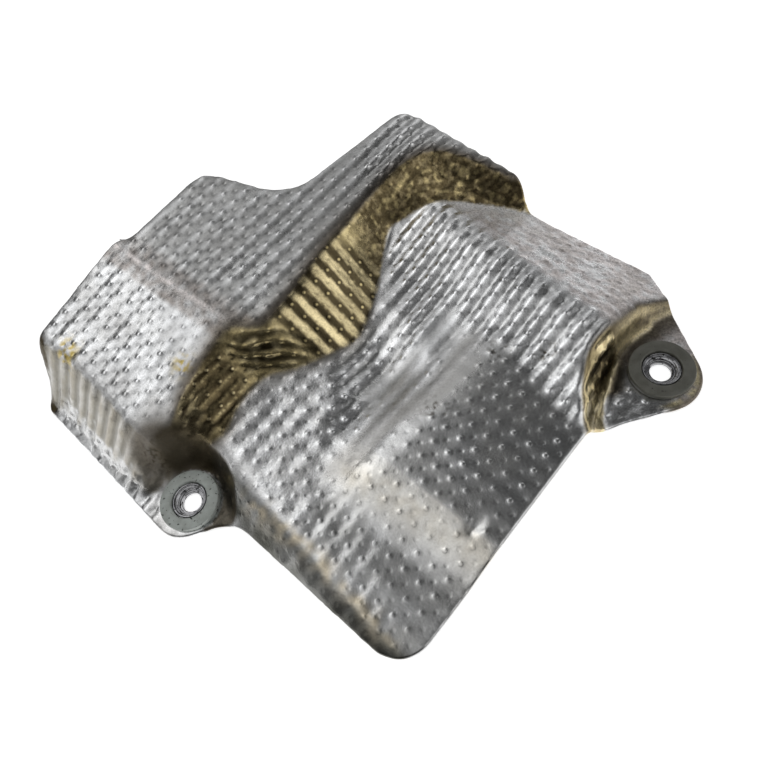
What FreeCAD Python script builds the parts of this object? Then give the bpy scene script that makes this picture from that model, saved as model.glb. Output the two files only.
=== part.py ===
import FreeCAD, Part
import math
import os

# Heat shield: one pressed sheet with a hemmed rim, held at two bolts by a washer and a flanged sleeve each.
# Frame: origin midway between the two bolt axes in the plane of the seats, +X from the left bolt to the
# right bolt, +Z up away from the engine. All sizes in mm, slopes in mm per mm.

# Driving dimensions of the sheet
bolt_spacing = 202.0
sheet_thickness = 1.0
hem_width = 3.5
hem_fold = 1.0
relief_pitch = 3.0
relief_margin = 12.0

# Driving dimensions of the washers and sleeves
washer_outer_radius = 13.0
washer_bore_radius = 7.8
washer_thickness = 3.0
washer_edge = 0.4
sleeve_body_radius = 7.6
sleeve_flange_radius = 11.0
sleeve_flange_thickness = 1.2
sleeve_cup_radius = 6.2
sleeve_lip_radius = 6.9
sleeve_lip_depth = 0.7
sleeve_floor_thickness = 1.8
bolt_hole_radius = 4.25
sheet_hole_clearance = 0.2

# Pads round the bolts: top of the sheet where the washers sit
pad_top = sleeve_flange_thickness + sheet_thickness
left_pad_radius = 14.5
left_pocket_width = 8.0
rim_floor = pad_top - 0.2

# Heights of the sheet's upper face, measured from the seats
plateau_height = 35.2
ridge_height = 27.0
slab_height = 17.2
centre_height = 15.2
tail_height = 12.2
flange_height = 13.7
bowl_depth = 5.0
bowl_radius = 24.0

# Slopes of the pressed faces along X and Y
front_plateau_slope = (0.07, 0.20)
back_plateau_slope = (-0.04, 0.11)
shoulder_slope = (-0.35, 0.05)
striped_slope = (0.30, 0.15)
outer_slope = (-0.47, -0.25)
slab_slope = (0.0, 0.05)
centre_slope = (-0.10, 0.12)
tail_slope = (0.0, 0.05)
slab_inner_fall = 0.65
slab_lower_fall = 0.34
flange_fall = 0.95

# Points through which the pressed faces pass, and directions of the falls, in plan
plateau_corner = (-64.0, 59.0)
shoulder_point = (39.0, 122.0)
shoulder_drop = 2.2
ridge_point = (67.0, 38.0)
slab_point = (24.0, -5.0)
slab_inner_point = (-5.0, 5.0)
slab_inner_direction = (-0.50, 0.86)
slab_lower_point = (-9.0, -34.0)
slab_lower_direction = (-0.73, -0.69)
centre_point = (-56.0, 11.0)
tail_point = (-39.0, -30.0)
bowl_point = (-9.0, 32.0)
bowl_length_ratio = 1.35
flange_point = (-74.0, -5.0)
flange_direction = (-0.846, -0.533)

# Bend radii, as the width over which two faces blend
crease_blend = 1.5
slab_blend = 2.5
face_blend = 4.0
ridge_blend = 6.0

# Top edge and foot of the wall round the raised plateau, in plan, from the far left end of the front wall
# past the left washer and along the curved riser to the right shoulder
plateau_edge = [(-176, 112), (-153, 84), (-142, 72), (-125, 48), (-107, 21), (-98, 25), (-88, 38), (-77, 49),
                (-65, 58), (-53, 55), (-40, 63), (-15, 87), (3, 101), (23, 116), (41, 121), (57, 114),
                (69, 104), (84, 96)]
plateau_foot = [(-186, 95), (-165, 66), (-145, 36), (-128, 12), (-115, 8), (-105, 17.5), (-93, 17.5),
                (-79, 18), (-70, 30), (-58, 39), (-43, 40), (-29, 43), (-15, 49), (-3, 66), (5, 85),
                (11, 97), (20, 100), (38, 102), (55, 100), (71, 95), (84, 90)]
plateau_back = [(84, 300), (-186, 300)]

# Top edge and foot of the wall round the right pad, measured from the right bolt
right_wall_edge = [(-44, -45), (-41, -22), (-38, -10), (-34, -1), (-28, 8), (-21, 13), (-12, 18.5), (-3, 24),
                   (4, 27), (43, 33)]
right_wall_foot = [(-32, -45), (-31, -17), (-29, -11), (-26, -5), (-22, 0), (-18, 6), (-12, 13.5), (-3, 18),
                   (4, 20.5), (10, 24), (43, 28)]
right_pad_back = [(43, -45)]

# Corners of the sheet in plan with their radii: (x, y, radius). The tab corners are measured from the bolts
left_tab_corners = [(-10.0, -15.0, 15.0), (17.0, -13.5, 16.0)]
front_corners = [(-28.0, -87.5, 15.0), (67.0, -17.4, 40.0)]
right_tab_corners = [(15.7, -17.6, 16.5), (15.7, 47.0, 8.0)]
back_corners = [(76.0, 95.0, 3.0), (74.5, 105.0, 10.0), (33.5, 150.0, 9.0), (-28.0, 116.0, 25.0),
                (-66.5, 144.0, 13.0), (-105.0, 115.5, 8.0), (-110.0, 118.3, 5.0), (-151.0, 85.5, 5.0),
                (-169.5, 67.5, 5.0)]

left_bolt_x = -bolt_spacing / 2
right_bolt_x = bolt_spacing / 2


def plane(x, y, point, height, slope):
    return height + slope[0] * (x - point[0]) + slope[1] * (y - point[1])


def lower(a, b, blend):
    """The lower of two heights, rounded over the blend width."""
    overlap = max(blend - abs(a - b), 0.0) / blend
    return min(a, b) - overlap * overlap * blend / 4


def higher(a, b, blend):
    return -lower(-a, -b, blend)


def ease(t):
    t = min(1.0, max(0.0, t))
    return t * t * (3 - 2 * t)


def along(x, y, point, direction):
    return (x - point[0]) * direction[0] + (y - point[1]) * direction[1]


def distance_outside(x, y, loop):
    """Distance from a point to a closed plan line, negative inside it."""
    nearest = 1e9
    inside = False
    x1, y1 = loop[-1]
    for x2, y2 in loop:
        dx, dy = x2 - x1, y2 - y1
        t = ((x - x1) * dx + (y - y1) * dy) / (dx * dx + dy * dy)
        t = min(1.0, max(0.0, t))
        nearest = min(nearest, (x - x1 - t * dx) ** 2 + (y - y1 - t * dy) ** 2)
        if (y1 > y) != (y2 > y) and x < x1 + (y - y1) * dx / dy:
            inside = not inside
        x1, y1 = x2, y2
    return -math.sqrt(nearest) if inside else math.sqrt(nearest)


def plateau_face(x, y):
    front = plane(x, y, plateau_corner, plateau_height, front_plateau_slope)
    back = plane(x, y, plateau_corner, plateau_height, back_plateau_slope)
    shoulder = plane(x, y, shoulder_point, plateau_height + shoulder_drop, shoulder_slope)
    return lower(lower(front, back, crease_blend), shoulder, face_blend)


def slab_face(x, y):
    """The dark flat slab, with its inner edge above the bowl and its lower edge above the tail."""
    slab = plane(x, y, slab_point, slab_height, slab_slope)
    inner = along(x, y, slab_inner_point, slab_inner_direction)
    slab = lower(slab, slab - slab_inner_fall * inner, slab_blend)
    below = along(x, y, slab_lower_point, slab_lower_direction)
    return lower(slab, slab - slab_lower_fall * below, slab_blend)


def hollow_face(x, y):
    """The face left of the slab with the bowl pressed into it."""
    centre = plane(x, y, centre_point, centre_height, centre_slope)
    tail = plane(x, y, tail_point, tail_height, tail_slope)
    reach = math.hypot(x - bowl_point[0], (y - bowl_point[1]) / bowl_length_ratio)
    return higher(tail, centre, face_blend) - bowl_depth * (1 - ease(reach / bowl_radius))


def ground_face(x, y):
    """Everything outside the plateau and the pads."""
    striped = plane(x, y, ridge_point, ridge_height, striped_slope)
    outer = plane(x, y, ridge_point, ridge_height, outer_slope)
    height = higher(striped, hollow_face(x, y), face_blend)
    height = higher(height, slab_face(x, y), slab_blend)
    height = lower(height, outer, ridge_blend)
    flange = flange_height - flange_fall * along(x, y, flange_point, flange_direction)
    height = lower(height, flange, face_blend)
    return higher(height, rim_floor, slab_blend)


def shifted(points, x):
    return [(px + x, py) for px, py in points]


plateau_top_loop = plateau_edge + plateau_back
plateau_foot_loop = plateau_foot + plateau_back
right_wall_loop = shifted(right_wall_edge + right_pad_back, right_bolt_x)
right_pad_loop = shifted(right_wall_foot + right_pad_back, right_bolt_x)


def wall_share(x, y, low_loop, high_loop):
    """0 on the low side of a wall, 1 on its high side and the part of the way up between its two edges."""
    if low_loop <= 0:
        return 0.0
    if high_loop <= 0:
        return 1.0
    t = low_loop / (low_loop + high_loop)
    return 0.65 * t + 0.35 * ease(t)


def upper_face(x, y):
    """Height of the sheet's upper face."""
    height = ground_face(x, y)
    past_foot = distance_outside(x, y, right_pad_loop)
    to_edge = -distance_outside(x, y, right_wall_loop)
    height = pad_top + (height - pad_top) * wall_share(x, y, past_foot, to_edge)
    reach = math.hypot(x - left_bolt_x, y) - left_pad_radius
    height = pad_top + (height - pad_top) * ease(reach / left_pocket_width)
    if x < left_bolt_x:
        height = pad_top
    to_top = distance_outside(x, y, plateau_top_loop)
    from_foot = -distance_outside(x, y, plateau_foot_loop)
    share = wall_share(x, y, from_foot, to_top)
    return height + (plateau_face(x, y) - height) * share


def sheet_outline():
    """Corners of the sheet, anticlockwise from the left tab."""
    left = [(x + left_bolt_x, y, r) for x, y, r in left_tab_corners]
    right = [(x + right_bolt_x, y, r) for x, y, r in right_tab_corners]
    return left + front_corners + right + back_corners


def relief_grid():
    corners = sheet_outline()
    x_low = min(c[0] for c in corners) - relief_margin
    x_high = max(c[0] for c in corners) + relief_margin
    y_low = min(c[1] for c in corners) - relief_margin
    y_high = max(c[1] for c in corners) + relief_margin
    columns = int(math.ceil((x_high - x_low) / relief_pitch)) + 1
    rows = int(math.ceil((y_high - y_low) / relief_pitch)) + 1
    xs = [x_low + i * relief_pitch for i in range(columns)]
    ys = [y_low + j * relief_pitch for j in range(rows)]
    heights = [[upper_face(x, y) for y in ys] for x in xs]
    return xs, ys, heights


def offset_pole(xs, ys, heights, i, j, depth):
    """A point of the upper face moved down square to the face."""
    i1, i2 = max(i - 1, 0), min(i + 1, len(xs) - 1)
    j1, j2 = max(j - 1, 0), min(j + 1, len(ys) - 1)
    rise_x = (heights[i2][j] - heights[i1][j]) / (xs[i2] - xs[i1])
    rise_y = (heights[i][j2] - heights[i][j1]) / (ys[j2] - ys[j1])
    down = FreeCAD.Vector(rise_x, rise_y, -1)
    down.normalize()
    return FreeCAD.Vector(xs[i], ys[j], heights[i][j]) + down * depth


def spline_knots(count):
    spans = count - 3
    return [4] + [1] * (spans - 1) + [4], [float(k) for k in range(spans + 1)]


def relief_surface(grid, depth):
    """One smooth face through the relief, a given depth below the upper face."""
    xs, ys, heights = grid
    poles = [[offset_pole(xs, ys, heights, i, j, depth) for j in range(len(ys))] for i in range(len(xs))]
    mults_u, knots_u = spline_knots(len(xs))
    mults_v, knots_v = spline_knots(len(ys))
    surface = Part.BSplineSurface()
    surface.buildFromPolesMultsKnots(poles, mults_u, mults_v, knots_u, knots_v, False, False, 3, 3)
    return surface


def layer(grid, top_depth, bottom_depth):
    """A full rectangle of sheet between two depths."""
    top = relief_surface(grid, top_depth)
    bottom = relief_surface(grid, bottom_depth)
    u1, u2, v1, v2 = top.bounds()
    faces = [top.toShape(), bottom.toShape()]
    for u in (u1, u2):
        faces.append(Part.makeRuledSurface(top.uIso(u).toShape(), bottom.uIso(u).toShape()))
    for v in (v1, v2):
        faces.append(Part.makeRuledSurface(top.vIso(v).toShape(), bottom.vIso(v).toShape()))
    shell = Part.makeShell(faces)
    shell.sewShape()
    solid = Part.makeSolid(shell)
    if solid.Volume < 0:
        solid.reverse()
    return solid


def rounded_wire(corners):
    """Closed plan line of straight runs joined by an arc at each corner."""
    runs = []
    count = len(corners)
    for k in range(count):
        x, y, radius = corners[k]
        corner = FreeCAD.Vector(x, y, 0)
        before = FreeCAD.Vector(corners[k - 1][0], corners[k - 1][1], 0) - corner
        after = FreeCAD.Vector(corners[(k + 1) % count][0], corners[(k + 1) % count][1], 0) - corner
        before.normalize()
        after.normalize()
        half = before.getAngle(after) / 2
        setback = radius / math.tan(half)
        middle = before + after
        middle.normalize()
        reach = radius / math.sin(half) - radius
        runs.append((corner + before * setback, corner + middle * reach, corner + after * setback))
    edges = []
    for k in range(count):
        start, middle, end = runs[k]
        edges.append(Part.Arc(start, middle, end).toShape())
        edges.append(Part.LineSegment(end, runs[(k + 1) % count][0]).toShape())
    return Part.Wire(edges)


def prism(wire, grid):
    heights = grid[2]
    low = min(min(column) for column in heights) - relief_margin
    high = max(max(column) for column in heights) + relief_margin
    raised = wire.copy()
    raised.translate(FreeCAD.Vector(0, 0, low))
    return Part.Face(raised).extrude(FreeCAD.Vector(0, 0, high - low))


def heat_shield_panel():
    grid = relief_grid()
    rim = rounded_wire(sheet_outline())
    inner_rim = rim.makeOffset2D(-hem_width)
    body = prism(rim, grid)
    panel = layer(grid, 0.0, sheet_thickness).common(body)
    ring = body.cut(prism(inner_rim, grid))
    hem = layer(grid, sheet_thickness / 2, sheet_thickness + hem_fold).common(ring)
    panel = panel.fuse(hem)
    hole_radius = sleeve_body_radius + sheet_hole_clearance
    for x in (left_bolt_x, right_bolt_x):
        hole = Part.makeCylinder(hole_radius, 2 * relief_margin, FreeCAD.Vector(x, 0, -relief_margin))
        panel = panel.cut(hole)
    return panel


def turned(profile, x):
    """A solid of revolution about a bolt axis from (radius, height) points."""
    points = [FreeCAD.Vector(r, 0, z) for r, z in profile]
    face = Part.Face(Part.makePolygon(points + points[:1]))
    solid = face.revolve(FreeCAD.Vector(0, 0, 0), FreeCAD.Vector(0, 0, 1), 360)
    solid.translate(FreeCAD.Vector(x, 0, 0))
    return solid


def washer(x):
    """Thick flat ring on the pad, with its edges broken."""
    low, high = pad_top, pad_top + washer_thickness
    return turned([(washer_bore_radius, low), (washer_outer_radius - washer_edge, low),
                   (washer_outer_radius, low + washer_edge), (washer_outer_radius, high - washer_edge),
                   (washer_outer_radius - washer_edge, high), (washer_bore_radius + washer_edge, high),
                   (washer_bore_radius, high - washer_edge)], x)


def sleeve(x):
    """Flanged cup under the sheet, up through it and the washer, with a smaller bolt hole in its floor."""
    rim = pad_top + washer_thickness
    edge = washer_edge / 2
    return turned([(bolt_hole_radius, 0), (sleeve_flange_radius - edge, 0), (sleeve_flange_radius, edge),
                   (sleeve_flange_radius, sleeve_flange_thickness),
                   (sleeve_body_radius, sleeve_flange_thickness), (sleeve_body_radius, rim - edge),
                   (sleeve_body_radius - edge, rim), (sleeve_lip_radius, rim),
                   (sleeve_cup_radius, rim - sleeve_lip_depth), (sleeve_cup_radius, sleeve_floor_thickness + edge),
                   (sleeve_cup_radius - edge, sleeve_floor_thickness),
                   (bolt_hole_radius, sleeve_floor_thickness)], x)


def main():
    os.makedirs("parts", exist_ok=True)
    parts = {
        "heat_shield_panel": heat_shield_panel(),
        "left_washer": washer(left_bolt_x),
        "left_sleeve": sleeve(left_bolt_x),
        "right_washer": washer(right_bolt_x),
        "right_sleeve": sleeve(right_bolt_x),
    }
    for name, shape in parts.items():
        shape.exportStep("parts/" + name + ".step")
        box = shape.BoundBox
        print(name, "solids", len(shape.Solids), "valid", shape.isValid(), "volume", round(shape.Volume, 1))
        print("  box", [round(v, 2) for v in (box.XMin, box.YMin, box.ZMin, box.XMax, box.YMax, box.ZMax)])


main()
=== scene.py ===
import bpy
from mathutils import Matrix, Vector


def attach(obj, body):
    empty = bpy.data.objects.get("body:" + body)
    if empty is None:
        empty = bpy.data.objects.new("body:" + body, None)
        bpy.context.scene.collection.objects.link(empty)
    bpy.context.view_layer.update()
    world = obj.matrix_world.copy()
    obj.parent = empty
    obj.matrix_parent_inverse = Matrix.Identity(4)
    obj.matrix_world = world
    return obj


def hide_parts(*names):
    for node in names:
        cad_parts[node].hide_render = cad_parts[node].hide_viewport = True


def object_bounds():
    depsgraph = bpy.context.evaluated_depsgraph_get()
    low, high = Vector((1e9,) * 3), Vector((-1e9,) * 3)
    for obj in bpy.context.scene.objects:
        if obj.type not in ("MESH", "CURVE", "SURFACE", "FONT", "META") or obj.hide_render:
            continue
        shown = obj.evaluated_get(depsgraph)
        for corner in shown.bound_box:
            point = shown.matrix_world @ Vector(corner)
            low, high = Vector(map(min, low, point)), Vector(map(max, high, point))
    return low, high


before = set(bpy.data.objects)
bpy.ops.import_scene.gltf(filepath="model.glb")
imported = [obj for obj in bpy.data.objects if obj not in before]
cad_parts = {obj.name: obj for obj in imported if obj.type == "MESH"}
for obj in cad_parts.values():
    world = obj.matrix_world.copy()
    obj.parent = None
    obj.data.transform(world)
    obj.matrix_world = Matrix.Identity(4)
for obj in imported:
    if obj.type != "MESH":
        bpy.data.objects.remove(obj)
cad_box = [list(corner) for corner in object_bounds()]

import math

import bpy
import numpy as np
from mathutils import Matrix, Vector
from mathutils.geometry import delaunay_2d_cdt

# Heat shield: one embossed and pressed aluminium sheet with a hemmed rim, two washers and two sleeves.
# Lengths are in mm in the part's own frame and turn into metres when a mesh is made.
MM = 0.001

# Sizes shared with the CAD source
bolt_spacing = 202.0
left_bolt = (-bolt_spacing / 2, 0.0)
right_bolt = (bolt_spacing / 2, 0.0)
sheet_thickness = 1.0
hem_thickness = 2.0
hem_width = 3.4
hole_radius = 7.8
pad_top = 2.2
washer_outer_radius = 13.0
washer_bore_radius = 7.8
washer_thickness = 3.0
washer_top = pad_top + washer_thickness
sleeve_flange_radius = 11.0
sleeve_flange_thickness = 1.2
sleeve_floor_thickness = 1.8
bolt_hole_radius = 4.25
left_pad_radius = 14.5
left_pocket_width = 8.0
rim_floor = 2.0

plateau_height = 35.2
ridge_height = 27.0
slab_height = 17.2
centre_height = 15.2
tail_height = 12.2
flange_height = 13.7
bowl_depth = 5.0
bowl_radius = 24.0

front_plateau_slope = (0.07, 0.20)
back_plateau_slope = (-0.04, 0.11)
shoulder_slope = (-0.35, 0.05)
striped_slope = (0.30, 0.15)
outer_slope = (-0.47, -0.25)
slab_slope = (0.0, 0.05)
centre_slope = (-0.10, 0.12)
tail_slope = (0.0, 0.05)
slab_inner_fall = 0.48
slab_lower_fall = 0.34
flange_fall = 0.95

plateau_corner = (-64.0, 59.0)
shoulder_point = (39.0, 122.0)
shoulder_drop = 2.2
ridge_point = (67.0, 38.0)
slab_point = (24.0, -5.0)
slab_inner_point = (-5.0, 5.0)
slab_inner_direction = (-0.50, 0.86)
slab_lower_point = (-9.0, -34.0)
slab_lower_direction = (-0.73, -0.69)
centre_point = (-56.0, 11.0)
tail_point = (-39.0, -30.0)
bowl_point = (-9.0, 32.0)
bowl_length_ratio = 1.35
flange_point = (-74.0, -5.0)
flange_direction = (-0.846, -0.533)

# Smooth gutter between the riser's foot and the striped slope
gutter_line = [(-5, 64), (0, 76), (4, 86), (9, 97)]
gutter_depth = 0.4
gutter_width = 6.0

crease_blend = 1.5
slab_blend = 2.5
inner_blend = 6.0
face_blend = 4.0
ridge_blend = 6.0

plateau_edge = [
    (-176, 112), (-153, 84), (-142, 72), (-125, 48), (-107, 21), (-98, 25), (-88, 38), (-77, 49), (-65, 58), (-53, 55),
    (-40, 63), (-15, 87), (3, 101), (23, 116), (41, 121), (57, 114), (69, 104), (84, 96)]
plateau_foot = [
    (-186, 95), (-165, 66), (-145, 36), (-128, 12), (-115, 8), (-105, 17.5), (-93, 17.5), (-79, 18), (-70, 30),
    (-58, 39), (-43, 40), (-29, 43), (-15, 49), (-3, 66), (5, 85), (11, 97), (20, 100), (38, 102), (55, 100), (71, 95),
    (84, 90)]
plateau_back = [(84, 300), (-186, 300)]
right_wall_edge = [
    (-44, -45), (-41, -22), (-38, -10), (-34, -1), (-28, 8), (-21, 13), (-12, 18.5), (-3, 24), (4, 27), (43, 33)]
right_wall_foot = [
    (-32, -45), (-31, -17), (-29, -11), (-26, -5), (-22, 0), (-18, 6), (-12, 13.5), (-3, 18), (4, 20.5), (10, 24),
    (43, 28)]
right_pad_back = [(43, -45)]
left_tab_corners = [(-10.0, -15.0, 15.0), (17.0, -13.5, 16.0)]
front_corners = [(-28.0, -87.5, 15.0), (67.0, -17.4, 40.0)]
right_tab_corners = [(15.7, -17.6, 16.5), (15.7, 47.0, 8.0)]
back_corners = [
    (76.0, 95.0, 3.0), (74.5, 105.0, 10.0), (33.5, 150.0, 9.0), (-28.0, 116.0, 25.0), (-66.5, 144.0, 13.0),
    (-105.0, 115.5, 8.0), (-110.0, 118.3, 5.0), (-151.0, 85.5, 5.0), (-169.5, 67.5, 5.0)]

# The embossed pattern: strong dots on a square lattice and weak ones between them, measured on the flat sheet
dot_pitch = 7.35
dot_angle = math.radians(34.8)
dot_anchor = (-69.0, 108.0)
wave_height = 0.20
strong_height = 0.18
strong_radii = (0.62, 1.32)
weak_depth = 0.09
weak_radii = (0.55, 1.20)

# Grids that the relief and the flat sheet are worked out on
field_span_x = (-205.0, 155.0)
field_span_y = (-120.0, 180.0)
field_pitch = 1.0
field_blur = 1.5
bend_blur = 1.5
flat_inset = 10.0
flat_pitch = 3.6
flat_margin = 26.0
flat_steps = 900
flat_damping = 0.93
noise_cells = 93

# Fineness of the meshes
outline_pitch = 0.5
grid_pitch = 1.18
grid_gap = 1.85
grid_margin = 0.8
rim_pitch = 1.3
hole_steps = 90
hole_pitch = 1.0
roll_steps = 6
under_step = 0.25
under_margin = 0.9
turned_steps = 96
lattice_reach = 30
dot_margin = 2.2
dot_rings = ((0.60, 7, 0.0), (0.95, 9, 0.5), (1.34, 11, 0.0))  # radius, vertices and turn of the rings round a dot


# --- relief of the sheet ---
def plane(x, y, point, height, slope):
    return height + slope[0] * (x - point[0]) + slope[1] * (y - point[1])


def lower(a, b, blend):
    """The lower of two heights, rounded off over the blend."""
    overlap = np.maximum(blend - np.abs(a - b), 0) / blend
    return np.minimum(a, b) - overlap * overlap * blend / 4


def higher(a, b, blend):
    return -lower(-a, -b, blend)


def ease(t):
    """A smooth step from 0 at 0 to 1 at 1."""
    t = np.clip(t, 0, 1)
    return t * t * (3 - 2 * t)


def along(x, y, point, direction):
    """Distance past a point in a direction."""
    return (x - point[0]) * direction[0] + (y - point[1]) * direction[1]


def distance_to(x, y, line):
    nearest = np.full(np.shape(x), 1e9)
    for (x1, y1), (x2, y2) in zip(line, line[1:]):
        dx, dy = x2 - x1, y2 - y1
        t = np.clip(((x - x1) * dx + (y - y1) * dy) / (dx * dx + dy * dy), 0, 1)
        nearest = np.minimum(nearest, (x - x1 - t * dx) ** 2 + (y - y1 - t * dy) ** 2)
    return np.sqrt(nearest)


def distance_outside(x, y, loop):
    """Distance to a closed line, negative inside it."""
    closed = [loop[-1], *loop]
    inside = np.zeros(np.shape(x), bool)
    for (x1, y1), (x2, y2) in zip(closed, loop):
        if y1 != y2:
            inside ^= ((y1 > y) != (y2 > y)) & (x < x1 + (y - y1) * (x2 - x1) / (y2 - y1))
    return np.where(inside, -1, 1) * distance_to(x, y, closed)


def plateau_face(x, y):
    front = plane(x, y, plateau_corner, plateau_height, front_plateau_slope)
    back = plane(x, y, plateau_corner, plateau_height, back_plateau_slope)
    shoulder = plane(x, y, shoulder_point, plateau_height + shoulder_drop, shoulder_slope)
    return lower(lower(front, back, crease_blend), shoulder, face_blend)


def slab_face(x, y):
    slab = plane(x, y, slab_point, slab_height, slab_slope)
    inner = along(x, y, slab_inner_point, slab_inner_direction)
    slab = lower(slab, slab - slab_inner_fall * inner, inner_blend)
    below = along(x, y, slab_lower_point, slab_lower_direction)
    return lower(slab, slab - slab_lower_fall * below, slab_blend)


def hollow_face(x, y):
    centre = plane(x, y, centre_point, centre_height, centre_slope)
    tail = plane(x, y, tail_point, tail_height, tail_slope)
    reach = np.hypot(x - bowl_point[0], (y - bowl_point[1]) / bowl_length_ratio)
    return higher(tail, centre, face_blend) - bowl_depth * (1 - ease(reach / bowl_radius))


def ground_face(x, y):
    striped = plane(x, y, ridge_point, ridge_height, striped_slope)
    outer = plane(x, y, ridge_point, ridge_height, outer_slope)
    height = higher(striped, hollow_face(x, y), face_blend)
    height = higher(height, slab_face(x, y), slab_blend)
    height = lower(height, outer, ridge_blend)
    flange = flange_height - flange_fall * along(x, y, flange_point, flange_direction)
    height = lower(height, flange, face_blend)
    return higher(height, rim_floor, slab_blend)


def shifted(points, x):
    return [(px + x, *others) for px, *others in points]


def flowing(points, parts=4):
    """A smooth line through the points."""
    p = np.array([2 * np.array(points[0]) - points[1], *points, 2 * np.array(points[-1]) - points[-2]], float)
    made = []
    for k in range(1, len(p) - 2):
        for t in np.arange(parts) / parts:
            made.append(tuple(0.5 * (2 * p[k] + (p[k + 1] - p[k - 1]) * t
                                     + (2 * p[k - 1] - 5 * p[k] + 4 * p[k + 1] - p[k + 2]) * t ** 2
                                     + (3 * p[k] - p[k - 1] - 3 * p[k + 1] + p[k + 2]) * t ** 3)))
    return made + [tuple(p[-2])]


top_loop = flowing(plateau_edge) + plateau_back
foot_loop = flowing(plateau_foot) + plateau_back
right_wall_loop = shifted(flowing(right_wall_edge) + right_pad_back, right_bolt[0])
right_pad_loop = shifted(flowing(right_wall_foot) + right_pad_back, right_bolt[0])


def wall_fraction(low, high):
    """How far up a wall a point lies: 0 at its foot or below, 1 at its top edge or above."""
    t = low / np.maximum(low + high, 1e-6)
    return np.where(low <= 0, 0, np.where(high <= 0, 1, t))


def wall_share(fraction):
    """Share of a wall's height at a fraction of its width."""
    return 0.65 * fraction + 0.35 * ease(fraction)


def band(x, y, line, width):
    """1 on a plan line, falling away over the width."""
    return np.exp(-(distance_to(x, y, line) / width) ** 2)


def blob(x, y, centre, radius, squash=1, turn=0):
    """1 at a centre, falling away over the radius."""
    dx, dy = x - centre[0], y - centre[1]
    c, s = math.cos(turn), math.sin(turn)
    return np.exp(-((dx * c + dy * s) ** 2 + ((dy * c - dx * s) / squash) ** 2) / radius ** 2)


def plateau_fraction(x, y):
    return wall_fraction(-distance_outside(x, y, foot_loop), distance_outside(x, y, top_loop))


def right_fraction(x, y):
    return wall_fraction(distance_outside(x, y, right_pad_loop), -distance_outside(x, y, right_wall_loop))


def upper_face(x, y):
    """Height of the sheet's upper face, with sharp folds."""
    height = ground_face(x, y)
    height = pad_top + (height - pad_top) * wall_share(right_fraction(x, y))
    reach = np.hypot(x - left_bolt[0], y) - left_pad_radius
    height = pad_top + (height - pad_top) * ease(reach / left_pocket_width)
    height = np.where(x < left_bolt[0], pad_top, height)
    height = height - gutter_depth * band(x, y, gutter_line, gutter_width)
    return height + (plateau_face(x, y) - height) * wall_share(plateau_fraction(x, y))


def blurred(values, sigma):
    reach = int(3 * sigma + 1)
    kernel = np.exp(-0.5 * (np.arange(-reach, reach + 1) / sigma) ** 2)
    kernel /= kernel.sum()
    for axis in (0, 1):
        count = values.shape[axis]
        padded = np.pad(values, [(reach, reach) if k == axis else (0, 0) for k in (0, 1)], mode="edge")
        values = sum(w * np.take(padded, range(i, i + count), axis) for i, w in enumerate(kernel))
    return values


class Field:
    """Values on a regular grid, read smoothly between its points."""

    def __init__(self, x0, y0, pitch, values):
        self.x0, self.y0, self.pitch, self.values = x0, y0, pitch, values

    def __call__(self, x, y):
        u = (np.asarray(x) - self.x0) / self.pitch
        v = (np.asarray(y) - self.y0) / self.pitch
        i = np.clip(np.floor(u).astype(int), 1, self.values.shape[0] - 3)
        j = np.clip(np.floor(v).astype(int), 1, self.values.shape[1] - 3)
        wu = self.weights(np.clip(u - i, 0, 1))
        wv = self.weights(np.clip(v - j, 0, 1))
        return sum(wu[a] * wv[b] * self.values[i - 1 + a, j - 1 + b] for a in range(4) for b in range(4))

    @staticmethod
    def weights(t):
        return ((2 * t * t - t ** 3 - t) / 2, (3 * t ** 3 - 5 * t * t + 2) / 2,
                (4 * t * t - 3 * t ** 3 + t) / 2, (t ** 3 - t * t) / 2)


def noise(x, y, size, seed):
    """Smooth random values of about -1 to 1, with features of the given size."""
    rng = np.random.default_rng(seed)
    grid = rng.uniform(-1, 1, (noise_cells + 4, noise_cells + 4))
    repeat = (np.arange(noise_cells + 4) - 1) % noise_cells + 1
    u, v = np.mod(x / size, noise_cells) + 1, np.mod(y / size, noise_cells) + 1
    return 1.5 * Field(0, 0, 1, grid[np.ix_(repeat, repeat)])(u, v)


field_x = np.arange(*field_span_x, field_pitch)
field_y = np.arange(*field_span_y, field_pitch)
grid_x, grid_y = np.meshgrid(field_x, field_y, indexing="ij")


def on_grid(values):
    return Field(field_x[0], field_y[0], field_pitch, values)


face_height = on_grid(blurred(upper_face(grid_x, grid_y), field_blur / field_pitch))
slope_x, slope_y = np.gradient(face_height.values, field_pitch)
face_slope_x, face_slope_y = on_grid(slope_x), on_grid(slope_y)
bend_xx, bend_xy = np.gradient(slope_x, field_pitch)
_, bend_yy = np.gradient(slope_y, field_pitch)
bend = np.sqrt(bend_xx ** 2 + 2 * bend_xy ** 2 + bend_yy ** 2) / (1 + slope_x ** 2 + slope_y ** 2) ** 1.2
face_bend = on_grid(blurred(bend, bend_blur))


def rounded_line(corners, step):
    """A closed line round corners, each given with its radius, with a point every step."""
    points = []
    for k, (x, y, radius) in enumerate(corners):
        corner = np.array([x, y])
        before = np.array(corners[k - 1][:2]) - corner
        after = np.array(corners[(k + 1) % len(corners)][:2]) - corner
        before /= np.linalg.norm(before)
        after /= np.linalg.norm(after)
        half = math.acos(before @ after) / 2
        middle = (before + after) / np.linalg.norm(before + after)
        centre = corner + middle * radius / math.sin(half)
        start = corner + before * radius / math.tan(half) - centre
        end = corner + after * radius / math.tan(half) - centre
        first = math.atan2(start[1], start[0])
        turn = (math.atan2(end[1], end[0]) - first + math.pi) % (2 * math.pi) - math.pi
        count = max(3, int(abs(turn) * radius / step))
        angles = [first + turn * i / count for i in range(count + 1)]
        points += [centre + radius * np.array([math.cos(angle), math.sin(angle)]) for angle in angles]
    return evenly(np.array(points), step)


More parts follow.
